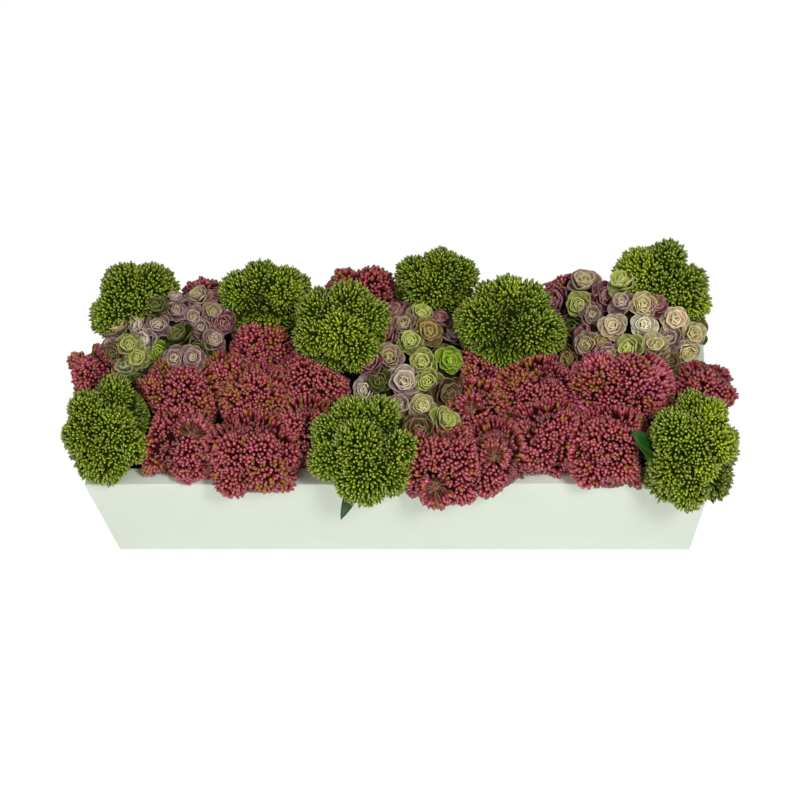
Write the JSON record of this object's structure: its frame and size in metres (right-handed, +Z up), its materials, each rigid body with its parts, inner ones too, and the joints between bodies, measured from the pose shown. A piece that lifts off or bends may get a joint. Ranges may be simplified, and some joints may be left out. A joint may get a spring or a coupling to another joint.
{
  "type": "succulent dish garden",
  "caption": "Long low tapered planter densely filled with artificial green sedum balls, pink sedum umbels and beds of small hen-and-chick rosettes.",
  "frame": {"origin": "middle of the planter's flat bottom", "axes": "+X along the planter to the right, +Y away from the viewer, +Z up"},
  "size_m": [0.6761, 0.3187, 0.2355],
  "materials": {
    "planter": "satin",
    "foam": "matte",
    "green_sedum": "satin",
    "pink_sedum": "satin",
    "rosettes": "matte"
  },
  "bodies": {
    "root": {"foam_block": "foam", "green_head_back_centre": "green_sedum", "green_head_back_left": "green_sedum", "green_head_back_midleft": "green_sedum", "green_head_back_right": "green_sedum", "green_head_front_centre": "green_sedum", "green_head_front_left": "green_sedum", "green_head_front_right": "green_sedum", "green_head_middle": "green_sedum", "green_head_midright": "green_sedum", "pink_head_back_centre": "pink_sedum", "pink_head_back_left": "pink_sedum", "pink_head_back_right": "pink_sedum", "pink_head_centre": "pink_sedum", "pink_head_centre_back": "pink_sedum", "pink_head_centre_low": "pink_sedum", "pink_head_centre_right": "pink_sedum", "pink_head_front_centre": "pink_sedum", "pink_head_front_left": "pink_sedum", "pink_head_front_left_low": "pink_sedum", "pink_head_front_midleft": "pink_sedum", "pink_head_front_midright": "pink_sedum", "pink_head_front_right": "pink_sedum", "pink_head_left_end": "pink_sedum", "pink_head_left_gap": "pink_sedum", "pink_head_left_inner": "pink_sedum", "pink_head_midleft": "pink_sedum", "pink_head_midleft_inner": "pink_sedum", "pink_head_midleft_low": "pink_sedum", "pink_head_right": "pink_sedum", "pink_head_right_end": "pink_sedum", "planter": "planter", "rosette_sprig_left_1": "rosettes", "rosette_sprig_left_2": "rosettes", "rosette_sprig_left_3": "rosettes", "rosette_sprig_left_4": "rosettes", "rosette_sprig_middle_1": "rosettes", "rosette_sprig_middle_2": "rosettes", "rosette_sprig_middle_3": "rosettes", "rosette_sprig_middle_4": "rosettes", "rosette_sprig_right_1": "rosettes", "rosette_sprig_right_2": "rosettes", "rosette_sprig_right_3": "rosettes", "rosette_sprig_right_4": "rosettes", "rosette_sprig_right_5": "rosettes"}
  },
  "joints": []
}
